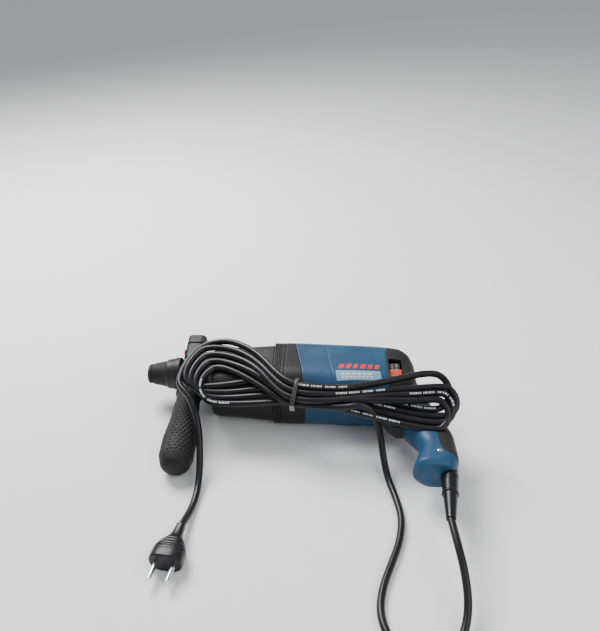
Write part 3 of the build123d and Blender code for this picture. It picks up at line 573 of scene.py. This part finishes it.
def side_marks(red_finish, label_finish, pale_finish):
    """Slanted red bars, and below them a pale blue label with short bars; neither is lettering."""
    bars = []
    for number in range(6):
        left = 246.5 + 8.8 * number
        width = 6.2 - 0.5 * (number % 3)
        bars.append(side_patch(lambda u, v, a=left, w=width: a + w * u + 2.4 * v,
                               lambda u, v: -43.5 + 8.6 * v, cells=6))
    points, faces = joined(*bars)
    add_piece("red_bars", points, faces, red_finish)
    points, faces = side_patch(lambda u, v: 245 + 54 * u - 1.5 * v, lambda u, v: -60 + 12.5 * v, rise=0.15)
    add_piece("side_label", points, faces, label_finish)
    dashes = []
    for row, (y, count, length) in enumerate(((-53.6, 6, 4.6), (-57.8, 8, 3.0))):
        for number in range(count):
            left = 250 + (length + 1.9) * number + row
            dashes.append(side_patch(lambda u, v, a=left, w=length: a + w * u,
                                     lambda u, v, c=y: c + 2.3 * v, rise=0.28, cells=3))
    points, faces = joined(*dashes)
    add_piece("label_bars", points, faces, pale_finish)


# ---- side handle ----
HANDLE_X = 57.0
HANDLE_TILT = math.radians(9.0)
HANDLE_LIMIT = 20.4        # no dome or rim stands further out than this
DOME_PITCH = 4.4
DOMES_ROUND = 24
DOME_HEIGHT = 1.15
RIM_HEIGHT = 1.3
RIM_ANGLE = math.radians(38)
STUB_FRONT = 16.0


def handle_place(along, across, over):
    """From the grip's own axes to the part: out along the grip, across it upwards, over it forwards."""
    y = -along * math.cos(HANDLE_TILT) - across * math.sin(HANDLE_TILT)
    z = -along * math.sin(HANDLE_TILT) + across * math.cos(HANDLE_TILT)
    return np.stack([HANDLE_X - over + 0 * y, y, z], -1)


GRIP_PROFILE = np.array([(29.4, 13.5), (30.0, 15.0), (32.0, 17.4), (35.0, 17.6), (38.0, 17.4), (42.0, 15.6),
                         (60.0, 15.0), (80.0, 15.8), (100.0, 18.0), (122.0, 19.9), (136.0, 19.6),
                         (147.0, 17.0), (153.5, 11.0), (155.6, 4.0), (156.0, 0.2)])


def dotted_grip(finish):
    """Turned grip with rows of small domes, and two raised rims along it.

    Radius = the profile's, plus domes on a staggered lattice, but none near the rims, plus the rims."""
    along = np.concatenate([np.linspace(29.4, 44, 24), np.linspace(44.6, 146, 230),
                            np.linspace(146.6, 156, 22)])
    turn = np.linspace(0, 2 * np.pi, 200, endpoint=False)
    radius = glide(along, GRIP_PROFILE[:, 0], GRIP_PROFILE[:, 1])[:, None]
    row = (along[:, None] - 46) / DOME_PITCH
    stagger = np.where(np.floor(row).astype(int) % 2 == 0, 0.0, 0.5)
    column = turn[None, :] / (2 * np.pi) * DOMES_ROUND + stagger
    far = np.hypot(row % 1.0 - 0.5, (column % 1.0 - 0.5))
    dome = DOME_HEIGHT * np.clip(1 - (far / 0.36) ** 2, 0, 1) ** 0.7
    rim_far = np.abs((turn - RIM_ANGLE + np.pi / 2) % np.pi - np.pi / 2)[None, :] * radius
    field = np.clip((along[:, None] - 52) / 3, 0, 1) * np.clip((141 - along[:, None]) / 3, 0, 1)
    rims = RIM_HEIGHT * np.exp(-((rim_far - 2.2) / 0.9) ** 4)
    rims = rims * np.clip((148 - along[:, None]) / 6, 0, 1) * np.clip((along[:, None] - 44) / 5, 0, 1)
    swell = radius + dome * field * (rim_far > 4.6) + rims
    swell = np.minimum(swell, HANDLE_LIMIT)
    grid = handle_place(along[:, None] + 0 * turn, swell * np.cos(turn), swell * np.sin(turn))
    points, faces = solid(grid)
    add_piece("dotted_grip", points, faces, finish, body="side_grip",
              replaces=["side_grip"], sharp=60)


SCREW_PLACE = (355.0, -161.5, 18.6)


def grip_screw(finish):
    """Turned pan head with a round recess, let into the grip's foot on the left side."""
    head = [(-2.0, 2.9), (0, 2.9), (0.9, 2.7), (1.3, 2.0), (1.35, 0.9), (0.5, 0.8), (0.5, 0.02)]
    x, y, z = SCREW_PLACE
    grid = lathe(head, 36, lambda along, across, over: np.stack([x + across, y + over, z + along], -1))
    points, faces = solid(grid)
    add_piece("grip_screw", points, faces, finish)


def handle_mark(finish):
    """Small orange release tab on the handle's stub: an ellipse carried along it, drawn in at both ends."""
    u, v = np.meshgrid(np.linspace(0, 1, 14), np.linspace(0, 2 * np.pi, 24, endpoint=False), indexing="ij")
    round_off = np.sqrt(np.clip(1 - (2 * u - 1) ** 6, 0.02, 1))
    along = -(28.5 + 7.5 * u)
    across = 7.0 + 4.6 * np.cos(v) * round_off
    grid = handle_place(along, across, STUB_FRONT - 0.6 + 1.4 * np.sin(v) * round_off)
    points, faces = solid(grid)
    add_piece("handle_tab", points, faces, finish, body="side_handle")


# ---- cord and what is on it ----
PRINT_STARTS = (700, 905, 1480, 1710, 2290, 2520, 3080, 3300)   # distances along the cord
PRINT_LENGTHS = (1.6, 0.9, 2.2, 1.2, 0.7)
PRINT_FACING = (0.0, -0.55, 0.83)


def build_cord(route, jacket):
    """The route's spline with a round section of the cord's radius."""
    data = cord_spline("mains_cord", route, 6)
    data.bevel_depth = CORD_R * MM
    data.bevel_resolution = 6
    data.use_fill_caps = True
    data.materials.append(jacket)
    cord = bpy.data.objects.new("mains_cord", data)
    bpy.context.collection.objects.link(cord)
    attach(cord, "housing")
    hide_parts("cord_lead", "cord_hank", "cord_plug_end")
    return cord


def cord_print(line, finish):
    """Runs of small pale dashes on the jacket, facing upwards and forwards.

    Each dash is a patch of the jacket's own surface, 0.05 mm proud of it."""
    marks = np.concatenate([[0], np.cumsum(np.linalg.norm(np.diff(line, axis=0), axis=1))])
    patches = []
    facing = np.array(PRINT_FACING)
    for start in PRINT_STARTS:
        place = float(start)
        for number in range(26):
            length = PRINT_LENGTHS[number % len(PRINT_LENGTHS)]
            if number % 7 != 5:
                spots = place + np.linspace(0, length, 3)
                centre = np.stack([np.interp(spots, marks, line[:, i]) for i in range(3)], 1)
                ahead = centre[-1] - centre[0]
                ahead /= np.linalg.norm(ahead)
                out = facing - ahead * facing.dot(ahead)
                out /= np.linalg.norm(out)
                over = np.cross(ahead, out)
                angle = np.radians(np.linspace(-15, 15, 4))[None, :, None]
                sheets = [centre[:, None, :] + radius * (np.cos(angle) * out + np.sin(angle) * over)
                          for radius in (CORD_R + 0.05, CORD_R - 0.3)]
                patches.append(walled(*sheets, False))
            place += length + 0.9
    points, faces = joined(*patches)
    add_piece("cord_print", points, faces, finish)


STRAP_MIDDLE = (195.5, -85.5, 34.5)
STRAP_HALF = (17.3, 11.6)
STRAP_LEAN = math.radians(33)
STRAP_SQUARENESS = 2.9     # 2 would be an ellipse
STRAP_HALF_WIDTH = 2.4


def tie_strap(finish, buckle_finish):
    """Flat strap round the hank's waist, leaning with the strands; its lower end shows the buckle.

    Outline = superellipse of the bundle's half height and half thickness."""
    turn = np.linspace(0, 2 * np.pi, 90, endpoint=False)
    power = 2 / STRAP_SQUARENESS
    high = np.sign(np.cos(turn)) * np.abs(np.cos(turn)) ** power
    thick = np.sign(np.sin(turn)) * np.abs(np.sin(turn)) ** power
    def loop(offset, grow):
        p, q = (STRAP_HALF[0] + grow) * high, (STRAP_HALF[1] + grow) * thick
        x = STRAP_MIDDLE[0] + offset + 3.5 * high
        y = STRAP_MIDDLE[1] + p * math.cos(STRAP_LEAN) - q * math.sin(STRAP_LEAN)
        z = STRAP_MIDDLE[2] + p * math.sin(STRAP_LEAN) + q * math.cos(STRAP_LEAN)
        return np.stack([x, y, z], -1)
    offsets = np.linspace(-STRAP_HALF_WIDTH, STRAP_HALF_WIDTH, 7)
    crown = 0.35 * (1 - (offsets / STRAP_HALF_WIDTH) ** 2)
    outer = np.array([loop(o, 1.1 + c) for o, c in zip(offsets, crown)])
    inner = np.array([loop(o, 0.0) for o in offsets])
    points, faces = walled(outer, inner, True)
    add_piece("tie_strap", points, faces, finish, replaces=["cord_tie"])
    keep = slice(38, 54)
    outer = np.array([loop(o * 1.12, 1.9 + c)[keep] for o, c in zip(offsets, crown)])
    inner = np.array([loop(o * 1.12, 0.9)[keep] for o in offsets])
    points, faces = walled(outer, inner, False)
    add_piece("tie_buckle", points, faces, buckle_finish)


PLUG_PLACE = np.array([79.5, -227.0, -29.0])
PLUG_HEADING = math.radians(-99.0)
PLUG_STATIONS = np.array([(0, 4.8, 4.8), (6, 4.9, 5.2), (14, 5.6, 6.6), (24, 9.0, 13.0), (34, 12.0, 17.0),
                          (44, 12.4, 17.4), (47, 12.2, 17.2), (48, 11.4, 16.4)])


def mains_plug(finish):
    """Moulded plug: superellipse sections that glide from cord to face, with five finger ribs."""
    along = np.linspace(0, 48, 120)
    high, wide = (glide(along, PLUG_STATIONS[:, 0], PLUG_STATIONS[:, i]) for i in (1, 2))
    turn = np.linspace(0, 2 * np.pi, 72, endpoint=False)[None, :]
    rib = 0.5 * np.clip(np.sin(along * 1.5), 0, 1) * (along > 18) * (along < 38)
    high, wide = (high - rib)[:, None], (wide - rib)[:, None]
    over = high * np.sign(np.cos(turn)) * np.abs(np.cos(turn)) ** 0.75
    across = wide * np.sign(np.sin(turn)) * np.abs(np.sin(turn)) ** 0.75
    heading = np.array([math.cos(PLUG_HEADING), math.sin(PLUG_HEADING), 0])
    sideways = np.array([-heading[1], heading[0], 0])
    grid = (PLUG_PLACE + along[:, None, None] * heading + across[..., None] * sideways
            + over[..., None] * np.array([0, 0, 1.0]))
    points, faces = solid(grid)
    return add_piece("mains_plug", points, faces, finish, replaces=["plug_body"])


# ---- finishes ----
def shader_group(name, inputs, outputs):
    """Empty node group with named sockets."""
    group = bpy.data.node_groups.new(name, "ShaderNodeTree")
    for label, kind, value in inputs:
        group.interface.new_socket(label, in_out="INPUT", socket_type=kind).default_value = value
    for label, kind in outputs:
        group.interface.new_socket(label, in_out="OUTPUT", socket_type=kind)
    return group, group.nodes.new("NodeGroupInput"), group.nodes.new("NodeGroupOutput")


def node(tree, kind, links=(), **settings):
    """Node with its settings; links are pairs of an input and what goes in: a socket or a plain value."""
    made = tree.nodes.new(kind)
    for label, value in settings.items():
        setattr(made, label, value)
    for label, source in links:
        if isinstance(source, bpy.types.NodeSocket):
            tree.links.new(source, made.inputs[label])
        else:
            made.inputs[label].default_value = source
    return made


def grain_group():
    """Moulded grain: fine noise for height, and a broad noise for gloss and tone."""
    group, start, end = shader_group("moulded_grain", [("Scale", "NodeSocketFloat", 900.0)],
                                     [("Height", "NodeSocketFloat"), ("Broad", "NodeSocketFloat")])
    place = node(group, "ShaderNodeTexCoord").outputs["Object"]
    fine = node(group, "ShaderNodeTexNoise", [("Vector", place), ("Scale", start.outputs["Scale"]),
                                              ("Detail", 4.0), ("Roughness", 0.6)])
    broad = node(group, "ShaderNodeTexNoise", [("Vector", place), ("Scale", 28.0), ("Detail", 5.0)])
    group.links.new(fine.outputs["Fac"], end.inputs["Height"])
    group.links.new(broad.outputs["Fac"], end.inputs["Broad"])
    return group


def wear_group():
    """Worn edges: convex edges, broken up by noise."""
    group, start, end = shader_group("edge_wear", [("Amount", "NodeSocketFloat", 0.5)],
                                     [("Mask", "NodeSocketFloat")])
    edge = node(group, "ShaderNodeNewGeometry").outputs["Pointiness"]
    place = node(group, "ShaderNodeTexCoord").outputs["Object"]
    broken = node(group, "ShaderNodeTexNoise", [("Vector", place), ("Scale", 160.0), ("Detail", 6.0)])
    ridge = node(group, "ShaderNodeMapRange", [("Value", edge), ("From Min", 0.52), ("From Max", 0.62)])
    patchy = node(group, "ShaderNodeMapRange", [("Value", broken.outputs["Fac"]), ("From Min", 0.42),
                                                ("From Max", 0.62)])
    both = node(group, "ShaderNodeMath", [(0, ridge.outputs["Result"]), (1, patchy.outputs["Result"])],
                operation="MULTIPLY")
    scaled = node(group, "ShaderNodeMath", [(0, both.outputs[0]), (1, start.outputs["Amount"])],
                  operation="MULTIPLY", use_clamp=True)
    group.links.new(scaled.outputs[0], end.inputs["Mask"])
    return group


def dust_group():
    """Settled dust: faces that look up, in fine specks and soft clouds."""
    group, start, end = shader_group("settled_dust", [("Amount", "NodeSocketFloat", 0.2)],
                                     [("Mask", "NodeSocketFloat")])
    place = node(group, "ShaderNodeTexCoord").outputs["Object"]
    normal = node(group, "ShaderNodeNewGeometry").outputs["Normal"]
    facing = node(group, "ShaderNodeSeparateXYZ", [(0, normal)])
    upward = node(group, "ShaderNodeMapRange", [("Value", facing.outputs["Z"]), ("From Min", 0.1),
                                                ("From Max", 1.0)])
    specks = node(group, "ShaderNodeTexNoise", [("Vector", place), ("Scale", 1400.0), ("Detail", 2.0)])
    sharp = node(group, "ShaderNodeMapRange", [("Value", specks.outputs["Fac"]), ("From Min", 0.6),
                                               ("From Max", 0.72)])
    clouds = node(group, "ShaderNodeTexNoise", [("Vector", place), ("Scale", 40.0), ("Detail", 6.0)])
    soft = node(group, "ShaderNodeMapRange", [("Value", clouds.outputs["Fac"]), ("From Min", 0.35),
                                              ("From Max", 0.75), ("To Max", 0.35)])
    mixed = node(group, "ShaderNodeMath", [(0, sharp.outputs["Result"]), (1, soft.outputs["Result"])],
                 operation="ADD")
    landed = node(group, "ShaderNodeMath", [(0, mixed.outputs[0]), (1, upward.outputs["Result"])],
                  operation="MULTIPLY")
    scaled = node(group, "ShaderNodeMath", [(0, landed.outputs[0]), (1, start.outputs["Amount"])],
                  operation="MULTIPLY", use_clamp=True)
    group.links.new(scaled.outputs[0], end.inputs["Mask"])
    return group


def machined_group():
    """Machining marks: noise stretched along Y and Z, so that it rings a part turned about X."""
    group, start, end = shader_group("machining_marks", [("Scale", "NodeSocketFloat", 1.0)],
                                     [("Lines", "NodeSocketFloat")])
    place = node(group, "ShaderNodeTexCoord").outputs["Object"]
    drawn = node(group, "ShaderNodeMapping", [("Vector", place), ("Scale", (1800.0, 30.0, 30.0))])
    lines = node(group, "ShaderNodeTexNoise", [("Vector", drawn.outputs[0]),
                                               ("Scale", start.outputs["Scale"]), ("Detail", 3.0)])
    group.links.new(lines.outputs["Fac"], end.inputs["Lines"])
    return group


GRAIN, WEAR, DUST, MACHINED = grain_group(), wear_group(), dust_group(), machined_group()
DUST_COLOUR = (0.36, 0.34, 0.31, 1)


def use_group(tree, group, **values):
    """A shared group placed in a material, with its inputs set."""
    made = tree.nodes.new("ShaderNodeGroup")
    made.node_tree = group
    for label, value in values.items():
        made.inputs[label].default_value = value
    return made


def finish(name, colour, gloss, worn=None, wear=0.5, dust=0.25, grain=900.0, bump=0.15, depth=0.05,
           metal=0.0, coat=0.0, machined=False, drift=(0.82, 1.16)):
    """Material from the shared groups: drifting tone, worn edges, settled dust and grain.

    gloss is the lowest and highest roughness; depth is the bump's distance in millimetres;
    drift is the darkest and lightest the tone gets."""
    material = bpy.data.materials.new(name)
    material.use_nodes = True
    tree = material.node_tree
    shader = tree.nodes["Principled BSDF"]
    shader.inputs["Metallic"].default_value = metal
    shader.inputs["Specular IOR Level"].default_value = 0.5 if metal else 0.28
    shader.inputs["Coat Weight"].default_value = coat
    shader.inputs["Coat Roughness"].default_value = 0.25
    texture = use_group(tree, GRAIN, Scale=grain)
    tone = node(tree, "ShaderNodeMapRange", [("Value", texture.outputs["Broad"]), ("From Min", 0.3),
                                             ("From Max", 0.7), ("To Min", drift[0]), ("To Max", drift[1])])
    tinted = node(tree, "ShaderNodeHueSaturation", [("Color", (*colour, 1)),
                                                    ("Value", tone.outputs["Result"])])
    worn_mask = use_group(tree, WEAR, Amount=wear).outputs["Mask"]
    worn = worn or tuple(min(part * 1.8 + 0.02, 1) for part in colour)
    rubbed = node(tree, "ShaderNodeMixRGB", [("Fac", worn_mask), ("Color1", tinted.outputs["Color"]),
                                             ("Color2", (*worn, 1))])
    dust_mask = use_group(tree, DUST, Amount=dust).outputs["Mask"]
    dusted = node(tree, "ShaderNodeMixRGB", [("Fac", dust_mask), ("Color1", rubbed.outputs["Color"]),
                                             ("Color2", DUST_COLOUR)])
    tree.links.new(dusted.outputs["Color"], shader.inputs["Base Color"])
    shine = node(tree, "ShaderNodeMapRange", [("Value", texture.outputs["Broad"]), ("From Min", 0.3),
                                              ("From Max", 0.7), ("To Min", gloss[0]),
                                              ("To Max", gloss[1])])
    dull = node(tree, "ShaderNodeMath", [(0, dust_mask), (1, 0.35), (2, shine.outputs["Result"])],
                operation="MULTIPLY_ADD", use_clamp=True)
    tree.links.new(dull.outputs[0], shader.inputs["Roughness"])
    height = texture.outputs["Height"]
    if machined:
        lines = use_group(tree, MACHINED, Scale=1.0).outputs["Lines"]
        height = node(tree, "ShaderNodeMath", [(0, height), (1, lines)], operation="ADD").outputs[0]
    rough = node(tree, "ShaderNodeBump", [("Height", height), ("Strength", bump),
                                          ("Distance", depth * MM)])
    tree.links.new(rough.outputs["Normal"], shader.inputs["Normal"])
    return material


FINISHES = {
    "black_housing": finish("black_moulding", (0.009, 0.0085, 0.0092), (0.42, 0.58), dust=0.05, bump=0.5,
                            depth=0.12),
    "blue_housing": finish("blue_moulding", (0.011, 0.058, 0.125), (0.38, 0.5), worn=(0.08, 0.19, 0.29),
                           dust=0.07, bump=0.35, depth=0.08),
    "soft_grip": finish("soft_rubber", (0.010, 0.0095, 0.010), (0.55, 0.7), dust=0.07, grain=1400.0,
                        bump=0.6, depth=0.12),
    "sleeve_plastic": finish("sleeve_moulding", (0.013, 0.012, 0.0125), (0.36, 0.5), dust=0.07, bump=0.3,
                             depth=0.06, machined=True),
    "grey_cap": finish("cap_moulding", (0.016, 0.0155, 0.016), (0.5, 0.62), dust=0.08, bump=0.5, depth=0.1),
    "orange_plastic": finish("orange_moulding", (0.72, 0.065, 0.025), (0.34, 0.46), worn=(0.9, 0.3, 0.15),
                             dust=0.1, bump=0.2),
    "hardened_steel": finish("ground_steel", (0.33, 0.33, 0.34), (0.24, 0.4), worn=(0.6, 0.6, 0.62),
                             metal=1.0, dust=0.05, machined=True),
    "bright_steel": finish("bright_steel", (0.62, 0.62, 0.63), (0.14, 0.26), worn=(0.8, 0.8, 0.8),
                           metal=1.0, dust=0.03, bump=0.05, machined=True),
    "aluminium": finish("cast_aluminium", (0.5, 0.5, 0.51), (0.4, 0.55), metal=1.0, dust=0.05, grain=500.0,
                        bump=0.4, depth=0.15),
    "laminated_steel": finish("stacked_sheet_steel", (0.12, 0.12, 0.125), (0.4, 0.55), metal=1.0, dust=0.05,
                              machined=True, bump=0.6, depth=0.2),
    "copper": finish("varnished_copper", (0.52, 0.19, 0.07), (0.25, 0.4), metal=1.0, dust=0.05, coat=0.5,
                     machined=True),
    "bronze": finish("sintered_bronze", (0.45, 0.30, 0.12), (0.4, 0.55), metal=1.0, dust=0.05),
    "carbon": finish("pressed_carbon", (0.02, 0.02, 0.02), (0.5, 0.65), dust=0.1),
    "fan_plastic": finish("dark_moulding", (0.022, 0.022, 0.023), (0.45, 0.6), dust=0.15),
    "seal_rubber": finish("seal_rubber", (0.016, 0.016, 0.016), (0.5, 0.65), dust=0.05),
    "cord_rubber": finish("cord_jacket", (0.008, 0.0075, 0.009), (0.26, 0.36), dust=0.05, grain=700.0,
                          bump=0.25, depth=0.06),
    "tie_plastic": finish("tie_strap_plastic", (0.035, 0.034, 0.035), (0.36, 0.46), dust=0.05, bump=0.3),
}
RED_PRINT = finish("red_print", (0.70, 0.035, 0.03), (0.3, 0.42), worn=(0.4, 0.12, 0.12), dust=0.08,
                   bump=0.1)
LABEL_FILM = finish("label_film", (0.20, 0.34, 0.46), (0.25, 0.36), worn=(0.4, 0.5, 0.58), dust=0.08,
                    bump=0.1)
PALE_PRINT = finish("pale_print", (0.62, 0.66, 0.70), (0.4, 0.5), worn=(0.4, 0.4, 0.42), dust=0.05,
                    bump=0.1)
GREY_BUCKLE = finish("buckle_plastic", (0.20, 0.20, 0.20), (0.4, 0.5), bump=0.3)
PALE_FLOOR = finish("pale_floor", (0.90, 0.90, 0.90), (0.75, 0.85), worn=(0.8, 0.8, 0.79), wear=0.0,
                    dust=0.0, grain=900.0, bump=0.05, drift=(0.99, 1.01))


def finish_nodes():
    """Every carried-over node takes the finish of its slot in the record."""
    for part in frame["record"]["subparts"]:
        carried = bpy.data.objects[part["node"]]
        for socket in carried.material_slots:
            socket.material = FINISHES[part["material_slot"]]


FLOOR_REACH = 9.0          # metres from the middle
ROOM_STRENGTH = 0.42
LAMP_TARGET = (0.19, -0.08, 0)
# Name, place in metres, side in metres and power in watts.
LAMPS = (("key_lamp", (-0.5, 0.75, 1.3), 0.9, 52), ("fill_lamp", (1.2, -0.9, 1.1), 1.4, 16))


def stage_and_light():
    """Plain floor under the tool, an even pale room, and two soft lamps."""
    floor_z = cad_box[0][2]
    corners = [(x * FLOOR_REACH, y * FLOOR_REACH, floor_z) for x, y in ((-1, -1), (1, -1), (1, 1), (-1, 1))]
    mesh = bpy.data.meshes.new("floor")
    mesh.from_pydata(corners, [], [(0, 1, 2, 3)])
    mesh.materials.append(PALE_FLOOR)
    floor = bpy.data.objects.new("floor", mesh)
    bpy.context.collection.objects.link(floor)
    world = bpy.data.worlds.new("room")
    world.use_nodes = True
    sky = world.node_tree.nodes["Background"]
    sky.inputs["Color"].default_value = (0.95, 0.97, 1.0, 1)
    sky.inputs["Strength"].default_value = ROOM_STRENGTH
    bpy.context.scene.world = world
    for name, place, size, power in LAMPS:
        data = bpy.data.lights.new(name, "AREA")
        data.size = size
        data.energy = power
        lamp = bpy.data.objects.new(name, data)
        bpy.context.collection.objects.link(lamp)
        lamp.location = place
        aim = Vector(LAMP_TARGET) - Vector(place)
        lamp.rotation_euler = aim.to_track_quat("-Z", "Y").to_euler()


# ---- the whole tool ----
route = cord_route()
mains_cord = build_cord(route, FINISHES["cord_rubber"])
finish_nodes()
gear_case(FINISHES["black_housing"])
collar_case(FINISHES["black_housing"])
motor_case(FINISHES["blue_housing"])
handle_shells(FINISHES["blue_housing"])
rear_cover(FINISHES["soft_grip"])
lever_scale(FINISHES["fan_plastic"], GREY_BUCKLE)
side_marks(RED_PRINT, LABEL_FILM, PALE_PRINT)
dotted_grip(FINISHES["soft_grip"])
grip_screw(FINISHES["bright_steel"])
handle_mark(FINISHES["orange_plastic"])
cord_print(spline_line(route, "print_line"), PALE_PRINT)
tie_strap(FINISHES["tie_plastic"], GREY_BUCKLE)
plug = mains_plug(FINISHES["cord_rubber"])
stage_and_light()
